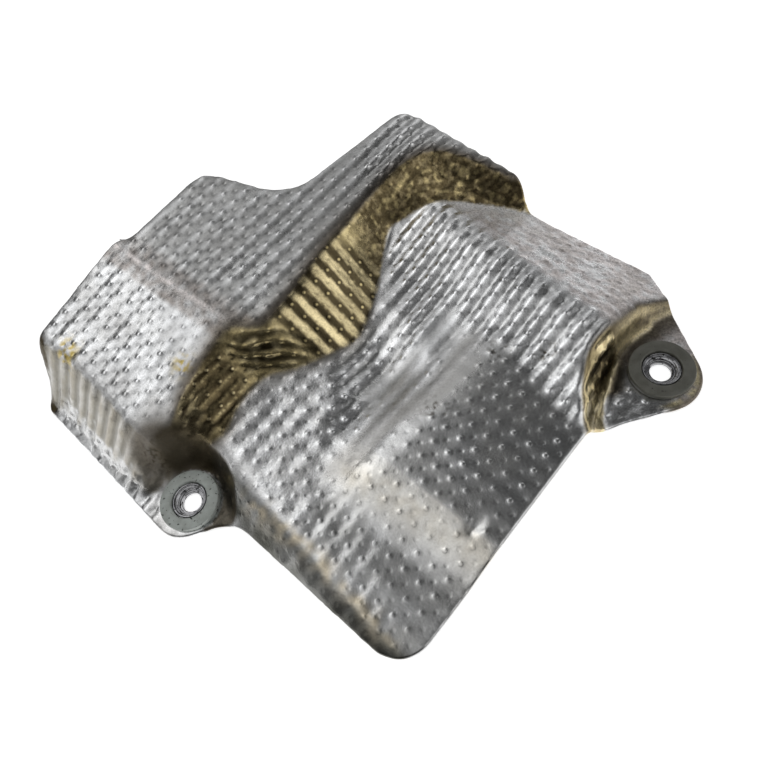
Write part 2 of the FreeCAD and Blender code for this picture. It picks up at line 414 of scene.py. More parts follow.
def evenly(points, step):
    """A closed line through the points with an even spacing close to step."""
    closed = np.vstack([points, points[:1]])
    length = np.concatenate([[0], np.cumsum(np.linalg.norm(np.diff(closed, axis=0), axis=1))])
    count = int(round(length[-1] / step))
    at = np.arange(count) * length[-1] / count
    return np.stack([np.interp(at, length, closed[:, k]) for k in (0, 1)], -1)


outline = rounded_line(
    shifted(left_tab_corners, left_bolt[0]) + front_corners + shifted(right_tab_corners, right_bolt[0]) + back_corners,
    outline_pitch)
outline_loop = outline[::4]


# --- the flat sheet: where each point of the unpressed sheet ends up in plan ---
def flattened():
    """Plan x and y over the flat sheet, from a net of springs settled on the relief."""
    a = np.arange(field_x[0] + flat_inset, field_x[-1] - flat_inset, flat_pitch)
    b = np.arange(field_y[0] + flat_inset, field_y[-1] - flat_inset, flat_pitch)
    flat_a, flat_b = np.meshgrid(a, b, indexing="ij")
    near = distance_outside(flat_a, flat_b, outline_loop) < flat_margin
    plan = np.stack([flat_a, flat_b], -1)
    drift = np.zeros_like(plan)
    links = []
    for di, dj, pull in ((1, 0, 1), (0, 1, 1), (1, 1, 0.7), (1, -1, 0.7), (2, 0, 0.35), (0, 2, 0.35)):
        here = (slice(0, a.size - di), slice(max(0, -dj), b.size - max(0, dj)))
        there = (slice(di, a.size), slice(max(0, dj), b.size - max(0, -dj)))
        links.append((here, there, flat_pitch * math.hypot(di, dj), pull * (near[here] & near[there])))
    for _ in range(flat_steps):
        solid = np.concatenate([plan, face_height(plan[..., 0], plan[..., 1])[..., None]], -1)
        move = np.zeros_like(plan)
        total = np.full(flat_a.shape, 1e-9)
        for here, there, rest, pull in links:
            gap = solid[there] - solid[here]
            length = np.sqrt((gap ** 2).sum(-1)) + 1e-9
            step = (0.5 * pull * (length - rest) / length)[..., None] * gap[..., :2]
            move[here] += step
            move[there] -= step
            total[here] += pull
            total[there] += pull
        drift = flat_damping * drift + move / total[..., None]
        plan = plan + drift * near[..., None]
    return Field(a[0], b[0], flat_pitch, plan[..., 0]), Field(a[0], b[0], flat_pitch, plan[..., 1])


plan_x, plan_y = flattened()


def to_plan(flat):
    return np.stack([plan_x(flat[:, 0], flat[:, 1]), plan_y(flat[:, 0], flat[:, 1])], -1)


def to_flat(plan):
    """The flat points that end up at plan points."""
    flat = np.array(plan, float)
    for _ in range(60):
        flat += 0.8 * (plan - to_plan(flat))
    return flat


# --- places on the sheet, in plan, and sizes of the marks there ---
front_lobe = (-82, 36)
front_lobe_radius = 17
front_lobe_end = (-95, 27)
lobe_joint = (-55, 47)
lobe_joint_radius = 17
lobe_joint_slope = 0.15
fold_pitch = 3.4
back_lobe = (-20, 62)
back_lobe_radius = 24
riser_start = -112
arc_start = -8
front_wall_end = -114
hollow_span = (-92, -22)
striped_start = 2
right_end_start = 62
high_face = 40

crinkled_rim = (-20, 20)
dent = (10, -45)
bowl_dent = (-26, 12)
slab_edge_point = (-1, -31)
slab_edge_direction = (-0.81, -0.59)
slab_edge_width = 10
tan_band = [(-29, -11), (-8, -35), (9, -57)]
front_wall_foot = [(-161, 62), (-150, 45), (-128, 12)]
slab_crease = [(-36, -9), (-13, 4), (13, 13), (29, 29)]
bowl_flank = [(-14, 16), (4, 27), (22, 42)]
plateau_crease = [(-116, 122), (-111, 115), (-88, 87), (-63, 58)]
faded_lines = [(slab_crease, 7, 0.85), (plateau_crease, 4, 0.55), (bowl_flank, 6, 0.8)]  # line, width, loss

stained_lines = [([(-73, -10), (-49, -41), (-30, -74)], 4, 0.75), ([(-32, -12), (-7, -35), (11, -55)], 6, 0.3)]
smeared_line = [(-44, -22), (-33, -38), (-16, -66)]
wall_stain = (-157, 68)
ochre_blobs = [((-140, 72), 5), ((-88, 48), 4.2)]
speck_blobs = [((9, 4), 5), ((40, 21), 4.5), ((57, 13), 4), ((27, 88), 5)]
# the next two places: painted shade and shadow in the corner by the left washer
corner_shade = (-108, 21)
corner_shadow = (-97, 17.5)
corner_specks = (-110, 19)
corner_dull = (-106, 19)
pocket_gleam = (-82, 2)
wall_gleam = (72, -15)
# painted shade on the right pad
pad_shade = (114, 23)
# painted shadow under the hem at the far left
hem_shadows = [((-154, 80), 5.5, 1.6, 1.2), ((-165, 67), 5, 1.5, 1.5)]  # centre, radius, share, fade

# Heights and depths, in mm
ridge_relief = 0.34
fold_relief = 0.34
bowl_crumple = 0.15
front_crumple = 0.28
arc_crumple = 0.12
left_tab_crumple = 0.10
right_pad_crumple = 0.05
tan_crumple = 0.035
outer_ripple = 0.12
hollow_ripple = 0.11
rim_ripple = 0.06
slab_edge_fall = 0.12
dent_depth = 0.9
bowl_dent_depth = 1.3
high_face_drop = 0.35
calm_bend = 0.16
dot_shine_radii = (0.4, 0.8)


# --- embossing, folds and wear, as a height square to the sheet ---
def turned_axes(a, b):
    """Flat axes turned into the pattern's, or back."""
    c, s = math.cos(dot_angle), math.sin(dot_angle)
    return a * c + b * s, a * s - b * c


def lattice(flat):
    """Flat points in the pattern: whole numbers at the strong dots, halves at the weak ones."""
    return turned_axes((flat[:, 0] - dot_anchor[0]) / dot_pitch, (flat[:, 1] - dot_anchor[1]) / dot_pitch)


def to_dot(u, v, shift):
    """Distance to the nearest dot: a strong one with a shift of 0, a weak one with 0.5."""
    du, dv = u - shift, v - shift
    return dot_pitch * np.hypot(du - np.round(du), dv - np.round(dv))


def pip(distance, radii):
    """A flat-topped dot: 1 inside the first radius, 0 outside the second."""
    return 1 - ease((distance - radii[0]) / (radii[1] - radii[0]))


def past(value, start, width):
    """0 up to the start, 1 once past it by the width."""
    return ease((value - start) / width)


def past_bolt(x, y, bolt, radius, width):
    return past(np.hypot(x - bolt[0], y), radius, width)


def emboss_strength(x, y):
    """1 on open faces, less where the sheet bends sharply, 0 under the washers."""
    calm = 1 / (1 + (face_bend(x, y) / calm_bend) ** 2)
    for bolt in (left_bolt, right_bolt):
        calm = calm * past_bolt(x, y, bolt, washer_outer_radius, 4)
    return calm


def reach_into(loop):
    """How far inside a plan loop a point lies, in mm; negative outside."""
    return on_grid(-distance_outside(grid_x, grid_y, loop))


into_foot, into_top = reach_into(foot_loop), reach_into(top_loop)
into_wall, into_pad = reach_into(right_wall_loop), reach_into(right_pad_loop)
into_sheet = reach_into(outline_loop)


def riser_share(x, y):
    """1 on the brown riser between the plateau and the lower faces."""
    return past(into_foot(x, y), -1, 2) * ease((1 - into_top(x, y)) / 2) * past(x, riser_start, 5)


def arc_share(x, y):
    """1 on the riser's upper band, which curves to the far right."""
    return riser_share(x, y) * past(x, arc_start, 12)


def riser_pattern(flat, x, y):
    """Shares of the riser, its lobes and the joint between them, and the ridges and folds on them."""
    a, b = flat[:, 0], flat[:, 1]
    _, v = lattice(flat)
    riser = riser_share(x, y)
    back = riser * np.clip(1.9 * blob(x, y, back_lobe, back_lobe_radius) - 0.2, 0, 1)
    front = riser * np.clip(1.9 * blob(x, y, front_lobe, front_lobe_radius), 0, 1) * (1 - back)
    joint = riser * blob(x, y, lobe_joint, lobe_joint_radius, 0.5, -lobe_joint_slope)
    ridge = (1 - np.abs(2 * np.mod(2 * v + 0.10 * noise(a, b, 7, 11), 1) - 1)) ** 4
    across = (x - lobe_joint[0]) * lobe_joint_slope + (y - lobe_joint[1])
    fold = np.clip(np.cos(2 * math.pi * across / fold_pitch + 1.5 * noise(a, b, 9, 13)), -0.4, 1)
    return riser, back * (1 - joint), front, joint, ridge, fold


def behind_crease(x, y):
    """Grows from below 0 before the plateau's crease to above 0 behind it."""
    return plane(x, y, plateau_corner, 0, front_plateau_slope) - plane(x, y, plateau_corner, 0, back_plateau_slope)


def front_top_share(x, y):
    """1 on the plateau before its crease."""
    return ease(into_top(x, y) / 2) * (1 - past(behind_crease(x, y), -0.2, 0.4))


def front_wall_share(x, y):
    """1 on the plateau's wall at the far left."""
    fraction = plateau_fraction(x, y)
    return ease(fraction / 0.1) * ease((1 - fraction) / 0.1) * (1 - past(x, front_wall_end, 5))


def outer_share(x, y):
    """1 on the slope beyond the ridge, at the far right."""
    beyond = plane(x, y, ridge_point, 0, outer_slope) - plane(x, y, ridge_point, 0, striped_slope)
    return ease((beyond + 2) / -5) * (1 - ease(plateau_fraction(x, y) / 0.1))


def slab_share(x, y):
    """1 on the slab between the striped slope and the flange."""
    above = plane(x, y, slab_point, slab_height, slab_slope) - plane(x, y, ridge_point, ridge_height, striped_slope)
    return ease(above / 2) * ease(-along(x, y, slab_inner_point, slab_inner_direction) / 6)


def striped_share(x, y):
    """1 on the slope with the deepest waves, between riser and ridge."""
    start = past(x, striped_start, 8)
    return start * (1 - slab_share(x, y)) * (1 - outer_share(x, y)) * (1 - riser_share(x, y))


def hollow_share(x, y):
    """1 in the hollow, where the waves are faint."""
    return ease((hollow_span[1] - x) / 10) * ease((x - hollow_span[0]) / 6) * ease(-into_foot(x, y) / 4)


def right_share(x):
    """1 at the right end, from the right wall on."""
    return past(x, right_end_start, 6)


def pattern_strength(x, y, riser, joint, slab):
    """How strongly the pattern is pressed."""
    strength = emboss_strength(x, y) * (1 - 0.5 * joint) * (1 - 0.3 * slab)
    for line, width, loss in faded_lines:
        strength = strength * (1 - loss * band(x, y, line, width))
    strength = strength * (1 - 0.8 * (1 - riser) * band(x, y, gutter_line, 7))
    down = along(x, y, flange_point, flange_direction)
    on_flange = past(down, 2.5, 2) * ease((10.5 - down) / 2) * past(y, -75, 6)
    return strength + 0.7 * (1 - strength) * on_flange


def relief(flat, plan):
    """Height of the embossing, folds, crumples and dents over the smooth face."""
    x, y = plan[:, 0], plan[:, 1]
    a, b = flat[:, 0], flat[:, 1]
    u, v = lattice(flat)
    riser, back, front, joint, ridge, fold = riser_pattern(flat, x, y)
    wall, outer, slab, hollow = front_wall_share(x, y), outer_share(x, y), slab_share(x, y), hollow_share(x, y)
    right_pad = right_share(x) * ease(into_pad(x, y) / 2)

    # waves and dots, the front lobe's ridges, the folds where the lobes join
    wave = (0.08 + 0.2 * front + 0.1 * slab) * np.cos(2 * math.pi * u) + 0.7 * back * np.sin(2 * math.pi * u)
    main_share = 1 - 0.9 * back - 0.93 * slab - 0.7 * outer + 0.9 * striped_share(x, y) - 0.75 * hollow
    wave += main_share * (1 - 0.8 * right_pad) * np.cos(2 * math.pi * v)
    pips = strong_height * pip(to_dot(u, v, 0), strong_radii) - weak_depth * pip(to_dot(u, v, 0.5), weak_radii)
    pips *= (1 - 0.35 * back) * (1 - 0.95 * wall) * (1 + 0.45 * ease(into_top(x, y) / 2))
    uneven = 1 + 0.25 * noise(a, b, 9, 3) - 0.2 * front_top_share(x, y)
    height = pattern_strength(x, y, riser, joint, slab) * uneven * ((1 + 0.5 * wall) * wave_height * wave + pips)
    height += ridge_relief * front * ridge * (0.7 + 0.5 * noise(a, b, 5, 12))
    height += fold_relief * joint * fold

    # crumpled metal
    crumple = noise(a, b, 2.4, 15) + 0.6 * noise(a, b, 1.3, 16)
    left_tab = ease((left_bolt[0] - x) / 4) * ease((20 - y) / 6) * past_bolt(x, y, left_bolt, 13.5, 2)
    for size, share in ((bowl_crumple, blob(x, y, crinkled_rim, 10, 0.7, -0.6)),
                        (front_crumple, band(x, y, front_wall_foot, 5)),
                        (arc_crumple, arc_share(x, y)),
                        (left_tab_crumple, left_tab),
                        (right_pad_crumple, right_pad * past_bolt(x, y, right_bolt, 13.5, 2)),
                        (tan_crumple, band(x, y, tan_band, 8))):
        height += size * share * crumple

    # ripples, and the unevenness of the whole sheet
    calm = past_bolt(x, y, left_bolt, 12, 5) * past_bolt(x, y, right_bolt, 12, 5)
    height += calm * (outer_ripple * outer * noise(a, b, 2.6, 8) + hollow_ripple * hollow * noise(a, b, 4.5, 9))
    height += rim_ripple * ease((2.8 - into_sheet(x, y)) / 1.2) * noise(a, b, 1.2, 10)
    buckle = 0.08 * noise(a, b, 6, 5) + 0.12 * noise(a, b, 17, 6) + 0.012 * noise(a, b, 1.5, 7)
    height += calm * (1 - 0.6 * slab) * buckle

    # fold at the slab's lower edge, dents, and room for the relief of the highest faces
    past_edge = np.clip(along(x, y, slab_edge_point, slab_edge_direction), 0, slab_edge_width)
    height -= slab_edge_fall * past_edge * blob(x, y, slab_edge_point, 34) ** 2
    height -= dent_depth * blob(x, y, dent, 4, 0.6, 0.5)
    height -= bowl_dent_depth * blob(x, y, bowl_dent, 8, 0.75, 0.6)
    return height - high_face_drop * past(face_height(x, y), high_face, 3)


def place(flat, depth):
    """The solid points at a depth below the embossed face, and the smooth face's normals there."""
    plan = to_plan(flat)
    x, y = plan[:, 0], plan[:, 1]
    normal = np.stack([-face_slope_x(x, y), -face_slope_y(x, y), np.ones(len(x))], -1)
    normal /= np.linalg.norm(normal, axis=1)[:, None]
    base = np.stack([x, y, face_height(x, y)], -1)
    solid = base + normal * (relief(flat, plan) - depth)[:, None]
    solid[:, 2] = np.clip(solid[:, 2], 0, cad_box[1][2] / MM)
    return solid, normal


# --- mesh of the panel ---
def inset(loop, distance):
    """A closed flat line moved inwards; the line runs anticlockwise."""
    ahead = np.roll(loop, -1, 0) - np.roll(loop, 1, 0)
    ahead /= np.linalg.norm(ahead, axis=1)[:, None]
    moved = loop + distance * np.stack([-ahead[:, 1], ahead[:, 0]], -1)
    for _ in range(int(distance * 3)):
        moved = 0.5 * moved + 0.25 * (np.roll(moved, 1, 0) + np.roll(moved, -1, 0))
    return moved


def ring(centre, radius, count, turn=0):
    angles = 2 * math.pi * (np.arange(count) + turn) / count
    return np.stack([centre[0] + radius * np.cos(angles), centre[1] + radius * np.sin(angles)], -1)


def lattice_points(shift, step):
    """Flat points of a lattice aligned with the embossing, covering the sheet."""
    count = int(lattice_reach / step)
    numbers = np.arange(-count, count + 1) * step + shift
    i, j = turned_axes(*(values.ravel() for values in np.meshgrid(numbers, numbers, indexing="ij")))
    return np.stack([dot_anchor[0] + dot_pitch * i, dot_anchor[1] + dot_pitch * j], -1)


def clear_of(points, loops, gap):
    """Which points lie inside the first loop and outside the others, by more than the gap."""
    x, y = points[:, 0], points[:, 1]
    clear = distance_outside(x, y, loops[0]) < -gap
    for hole in loops[1:]:
        clear &= distance_outside(x, y, hole) > gap
    return clear


def triangulated(loops, inner):
    """Triangles over the flat region inside the first loop and outside the others."""
    points = np.vstack(list(loops) + [inner])
    edges, start = [], 0
    for loop in loops:
        n = len(loop)
        edges += [(start + k, start + (k + 1) % n) for k in range(n)]
        start += n
    made = delaunay_2d_cdt([Vector(p) for p in points], edges, [], 0, 1e-5)
    flat = np.array([tuple(v) for v in made[0]])
    faces = np.array(made[2])
    faces = faces[clear_of(flat[faces].mean(1), loops, 0)]
    a, b, c = flat[faces[:, 0]], flat[faces[:, 1]], flat[faces[:, 2]]
    area = (b[:, 0] - a[:, 0]) * (c[:, 1] - a[:, 1]) - (b[:, 1] - a[:, 1]) * (c[:, 0] - a[:, 0])
    faces[area < 0] = faces[area < 0][:, ::-1]
    return flat, faces


def top_points(loops):
    """Flat points of the upper face: rings round the dots and a grid between."""
    dots = []
    for shift in (0, 0.5):
        centres = lattice_points(shift, 1)
        for centre in centres[clear_of(centres, loops, dot_margin)]:
            dots += [centre[None]] + [ring(centre, *values) for values in dot_rings]
    rows = np.arange(field_y[0], field_y[-1], grid_pitch * math.sqrt(3) / 2)
    cols = np.arange(field_x[0], field_x[-1], grid_pitch)
    gx, gy = np.meshgrid(cols, rows, indexing="ij")
    gx = gx + grid_pitch / 2 * (np.arange(rows.size) % 2)[None, :]
    grid = np.stack([gx.ravel(), gy.ravel()], -1)
    u, v = lattice(grid)
    grid = grid[(to_dot(u, v, 0) > grid_gap) & (to_dot(u, v, 0.5) > grid_gap)]
    return np.vstack(dots + [grid[clear_of(grid, loops, grid_margin)]])


def strip(first, second):
    """Quads between two closed rows of as many vertices, given by their numbers."""
    n = len(first)
    return [(first[k], first[(k + 1) % n], second[(k + 1) % n], second[k]) for k in range(n)]


def nearest_rows(flat, line):
    """The numbers of the flat points that a line was given as."""
    return [int(np.argmin((flat[:, 0] - p[0]) ** 2 + (flat[:, 1] - p[1]) ** 2)) for p in line]


def panel_mesh():
    """Solid points, flat points and faces of the sheet, with its holes, rolled rim and hem."""
    rim = evenly(to_flat(outline), rim_pitch)
    roll = hem_thickness / 2
    holes = [evenly(to_flat(ring(bolt, hole_radius, hole_steps)), hole_pitch)[::-1] for bolt in (left_bolt, right_bolt)]
    start = inset(rim, roll)
    flat_top, faces_top = triangulated([start] + holes, top_points([start] + holes))
    inner = [inset(rim, hem_width + 0.2)] + holes
    under = lattice_points(0, under_step)
    flat_low, faces_low = triangulated(inner, under[clear_of(under, inner, under_margin)])
    parts = [place(flat_top, 0)[0], place(flat_low, sheet_thickness)[0]]
    flats = [flat_top, flat_low]
    base = len(flat_top)
    faces = [tuple(f) for f in faces_top] + [tuple(base + f[::-1]) for f in faces_low]
    rows = [nearest_rows(flat_top, start)]

    def add_row(solid, flat):
        first = sum(len(part) for part in parts)
        rows.append(list(range(first, first + len(flat))))
        parts.append(solid)
        flats.append(flat)

    # the rolled edge and the hem folded under it
    centre, normal = place(start, 0)
    outward = place(rim, 0)[0] - centre
    outward -= normal * (outward * normal).sum(1)[:, None]
    outward /= np.linalg.norm(outward, axis=1)[:, None]
    for k in range(1, roll_steps + 1):
        angle = math.pi / 2 - math.pi * k / roll_steps
        rolled = centre - roll * normal + roll * (math.cos(angle) * outward + math.sin(angle) * normal)
        rolled[:, 2] = np.maximum(rolled[:, 2], 0)
        add_row(rolled, rim)
    for distance, depth in ((2.2, hem_thickness), (hem_width - 0.15, hem_thickness), (hem_width, hem_thickness - 0.2),
                            (hem_width + 0.05, sheet_thickness + 0.1)):
        line = inset(rim, distance)
        add_row(place(line, depth)[0], line)
    rows.append([base + k for k in nearest_rows(flat_low, inner[0])])
    joins = list(zip(rows, rows[1:]))
    for hole in holes:
        joins.append((nearest_rows(flat_top, hole), [base + k for k in nearest_rows(flat_low, hole)]))
    for first, second in joins:
        faces += [f[::-1] for f in strip(first, second)]
    return np.vstack(parts), np.vstack(flats), faces


def new_object(name, points, faces, material):
    mesh = bpy.data.meshes.new(name)
    mesh.from_pydata([tuple(p) for p in points * MM], [], [tuple(int(i) for i in f) for f in faces])
    mesh.validate()
    mesh.polygons.foreach_set("use_smooth", [True] * len(mesh.polygons))
    mesh.materials.append(material)
    obj = bpy.data.objects.new(name, mesh)
    bpy.context.scene.collection.objects.link(obj)
    return obj


# --- materials ---
def nodes_of(name):
    material = bpy.data.materials.new(name)
    material.use_nodes = True
    tree = material.node_tree
    return material, tree, tree.nodes["Principled BSDF"]


def feed(tree, node, inputs):
    """Gives each input of a node its value, or links it to the socket that it comes from."""
    for key, value in inputs.items():
        if isinstance(value, bpy.types.NodeSocket):
            tree.links.new(value, node.inputs[key])
        else:
            node.inputs[key].default_value = value


def added(tree, kind, inputs, **settings):
    """The outputs of a new shader node."""
    node = tree.nodes.new("ShaderNode" + kind)
    for key, value in settings.items():
        setattr(node, key, value)
    feed(tree, node, inputs)
    return node.outputs


def ramp(tree, value, stops):
    """A ramp between two stops, each a position and a colour."""
    node = tree.nodes.new("ShaderNodeValToRGB")
    for element, (position, colour) in zip(node.color_ramp.elements, stops):
        element.position = position
        element.color = (*colour, 1)
    feed(tree, node, {"Fac": value})
    return node.outputs["Color"]


def aluminium():
    """Metal whose colour, roughness, metallic share, grit and fine bump are kept at the vertices."""
    material, tree, shader = nodes_of("embossed_aluminium")
    tone = added(tree, "Attribute", {}, attribute_name="tone")
    wear = added(tree, "Attribute", {}, attribute_name="wear")
    metallic, grit, fine_bump = added(tree, "SeparateColor", {"Color": wear["Color"]})
    coords = added(tree, "TexCoord", {})
    grain = added(tree, "TexNoise", {"Scale": 1100.0, "Detail": 7.0, "Roughness": 0.62, "Vector": coords["Object"]})
    spread = added(tree, "MapRange", {
        "Value": grain["Fac"], "From Min": 0.34, "From Max": 0.60, "To Min": 0.28, "To Max": 1.0})
    vary = added(tree, "Mix", {"Factor": grit, "A": tone["Color"], "B": spread["Result"]},
                 data_type="RGBA", blend_type="MULTIPLY")
    rough = added(tree, "MapRange", {"Value": grain["Fac"], "To Min": 0.8, "To Max": 1.2})
    satin = added(tree, "Math", {0: tone["Alpha"], 1: rough["Result"]}, operation="MULTIPLY")
    bump = added(tree, "Bump", {"Distance": 0.0002, "Strength": fine_bump, "Height": grain["Fac"]})
    feed(tree, shader, {
        "Base Color": vary["Result"], "Metallic": metallic, "Roughness": satin["Value"], "Normal": bump["Normal"]})
    return material


def steel(name, colour, dark, roughness, metallic, specks):
    """Mottled steel between two colours, with dark pits; specks sets how many."""
    material, tree, shader = nodes_of(name)
    coords = added(tree, "TexCoord", {})
    cloud = added(tree, "TexNoise", {"Scale": 260.0, "Detail": 8.0, "Vector": coords["Object"]})
    pits = added(tree, "TexNoise", {"Scale": 750.0, "Detail": 3.0, "Vector": coords["Object"]})
    shade = ramp(tree, cloud["Fac"], ((0.35, dark), (0.62, colour)))
    mask = ramp(tree, pits["Fac"], ((specks, pit_black), (specks + 0.05, (1, 1, 1))))
    mixed = added(tree, "Mix", {"Factor": 1.0, "A": shade, "B": mask}, data_type="RGBA", blend_type="MULTIPLY")
    wear = added(tree, "MapRange", {"Value": cloud["Fac"], "To Min": roughness * 0.7, "To Max": roughness * 1.3})
    bump = added(tree, "Bump", {"Strength": 0.2, "Distance": 0.0001, "Height": pits["Fac"]})
    feed(tree, shader, {
        "Metallic": metallic, "Base Color": mixed["Result"], "Roughness": wear["Result"], "Normal": bump["Normal"]})
    return material


# Colours of the metal; some are painted shade and highlights, as noted above each
# painted sheen: brighter metal where reflections are bright, on the striped slope and below the riser's foot
sheen_metal = (0.98, 0.98, 0.98)
bright_metal = (0.87, 0.88, 0.89)
dull_metal = (0.50, 0.48, 0.45)
# painted shade: darker grey for the slab and the plateau behind the crease
shaded_grey = (0.48, 0.48, 0.47)
pink_bloom = (0.80, 0.70, 0.69)
# painted highlight: a pale line along the plateau's crease
crease_highlight = (0.92, 0.86, 0.84)
crease_smear = (0.37, 0.34, 0.32)
# painted shade in the pattern's grooves, also used for a smear
shade_and_smear_grey = (0.36, 0.36, 0.35)
beige = (0.42, 0.39, 0.33)
tan_stain = (0.56, 0.50, 0.39)
# a darker tone for the flange
flange_dark = (0.13, 0.13, 0.115)
ochre = (0.60, 0.47, 0.16)
# dirt, and painted shade in the front wall's flutes
dirt_and_flute_shade = (0.22, 0.21, 0.18)
worn_tan = (0.82, 0.80, 0.75)
# painted shade, brown: beside the riser, in the corner by the left washer and on the right pad
shade_brown = (0.23, 0.20, 0.16)
# painted shade along the plateau's top edge
edge_shade = (0.13, 0.11, 0.085)
# the riser's own gold, also used for painted highlights on the arc's wrinkles and on dots in the lanes
gold = (0.70, 0.57, 0.29)
# painted highlight, gold
gold_highlight = (0.92, 0.78, 0.46)
lip_gold = (1.0, 0.88, 0.56)
# the arc's own dull gold, also used for a painted highlight in the pocket
dull_gold = (0.42, 0.34, 0.19)
wall_gold = (0.60, 0.49, 0.27)
brown = (0.155, 0.12, 0.062)
# painted shade, dark brown
umber_shade = (0.055, 0.042, 0.022)
# soot, and painted shade and shadow
soot_and_shade = (0.07, 0.055, 0.03)
pit_black = (0.08, 0.08, 0.07)


def seam(distance, at, width):
    """1 at one distance from an edge, falling away over the width."""
    return np.exp(-((distance - at) / width) ** 2)


def tones(flat):
    """Colour, with painted shade and highlights, and roughness of the metal at each vertex, and its metallic share,
    grit and fine bump.
    """
    plan = to_plan(flat)
    x, y = plan[:, 0], plan[:, 1]
    u, v = lattice(flat)
    riser, back, front, joint, ridge, fold = riser_pattern(flat, x, y)
    outer, slab, striped, arc = outer_share(x, y), slab_share(x, y), striped_share(x, y), arc_share(x, y)
    in_foot, in_top, in_wall, in_pad = into_foot(x, y), into_top(x, y), into_wall(x, y), into_pad(x, y)
    in_sheet = into_sheet(x, y)

    def grain(size, seed):
        return noise(flat[:, 0], flat[:, 1], size, seed)

    def patches(size, seed, start, gain):
        return np.clip(start + gain * grain(size, seed), 0, 1)

    smudge = grain(13, 21) + 0.6 * grain(5, 22)
    mottle = grain(2.2, 29)
    colour = np.ones((len(flat), 3)) * np.array(bright_metal)

    def tint(share, target):
        nonlocal colour
        colour = colour + np.clip(share, 0, 1)[:, None] * (np.array(target) - colour)

    # open faces, with painted shade on the slab and a painted sheen on the striped slope's upper part
    tint(0.12 + 0.13 * smudge + 0.05 * mottle, dull_metal)
    tint(slab * (0.55 + 0.12 * smudge), shaded_grey)
    tint(0.3 * ease((left_bolt[0] - x) / 4) * ease((8 - y) / 4), dull_metal)
    tint(0.8 * striped, bright_metal)
    tint(0.5 * striped * past(y, 55, 20), sheen_metal)
    # painted shade on the plateau behind the crease and in the pattern's grooves, the smear along the crease, and a
    # painted highlight on the crease
    on_top = ease(in_top / 2)
    behind = behind_crease(x, y)
    tint(0.42 * past(behind, -0.2, 0.4) * on_top * ease((25 - x) / 20), shaded_grey)
    groove = ease(0.5 - 0.6 * np.cos(2 * math.pi * v)) * (1 - riser) * (1 - outer) * (1 - slab) * emboss_strength(x, y)
    tint(groove * (0.6 - 0.35 * front_top_share(x, y) - 0.15 * striped - 0.3 * hollow_share(x, y)), shade_and_smear_grey)
    smear = on_top * past(behind, -1.4, 0.4) * (1 - past(behind, 0.6, 0.8))
    tint(smear * (0.7 + 0.15 * grain(4, 23) + 0.25 * mottle), crease_smear)
    tint(band(x, y, plateau_crease[1:], 1.1) * (0.6 + 0.4 * mottle), crease_highlight)
    # dull bloom beyond the ridge
    tint(outer * (0.5 + 0.2 * smudge + 0.3 * mottle), pink_bloom)
    tint(outer * (0.15 + 0.3 * mottle + 0.2 * smudge), dull_metal)
    # lighter worn band below the slab
    past_edge = along(x, y, slab_edge_point, slab_edge_direction)
    tint(0.9 * band(x, y, tan_band, 9) * past(past_edge, -0.5, 1.5), worn_tan)
    # flange, and the stains beside it and over the slab's lower edge
    flange = ease((along(x, y, flange_point, flange_direction) + 3) / 4) * past(x, -86, 6)
    tint(flange * (0.92 + 0.12 * smudge), flange_dark)
    for line, width, share in stained_lines:
        tint(band(x, y, line, width) * share * (0.6 + 0.6 * grain(3, 25)), tan_stain)
    tint(0.5 * band(x, y, slab_crease, 6), dull_metal)
    tint(0.5 * band(x, y, smeared_line, 7) * (0.8 + 0.3 * smudge), shade_and_smear_grey)
    # front wall, with painted shade in its flutes and a dirt stain, and the bright edge below it
    front_wall = front_wall_share(x, y)
    tint(front_wall * (0.85 + 0.2 * grain(4, 24)), beige)
    tint(front_wall * 0.85 * ease(0.5 - 0.9 * np.cos(2 * math.pi * v)), dirt_and_flute_shade)
    tint(0.5 * blob(x, y, wall_stain, 14) * front_wall, dirt_and_flute_shade)
    bright_edge = ease((12 + 2 * grain(2.5, 38) - in_sheet) / 6)
    tint(0.8 * bright_edge * ease((-118 - x) / 5) * ease((64 - y) / 3), bright_metal)
    # ochre blobs and soot specks
    for centre, radius in ochre_blobs:
        tint(1.6 * blob(x, y, centre, radius) * patches(1.5, 26, 0.3, 1.2), ochre)
    for centre, radius in speck_blobs:
        tint(patches(1.2, 27, -1.2, 3) * blob(x, y, centre, radius), soot_and_shade)
    # painted shade beside the riser's top edge and foot, and a painted sheen on the metal below its foot
    edge_run = past(x, -100, 8) * ease((84 - x) / 8)
    beyond = np.maximum(in_top, -in_foot)
    below = ease(1 - in_foot) * past(x, arc_start, 8)
    halo = edge_run * (1 - riser) * np.exp(-np.maximum(beyond, 0) / 3.4) * (beyond > -1.5)
    tint(halo * (1 - 0.85 * below), shade_brown)
    tint(0.9 * edge_run * (in_top > -4) * seam(in_top, 0, 5), edge_shade)
    tint(0.8 * edge_run * (1 - riser) * below * np.exp(np.minimum(in_foot, 0) / 12), sheen_metal)
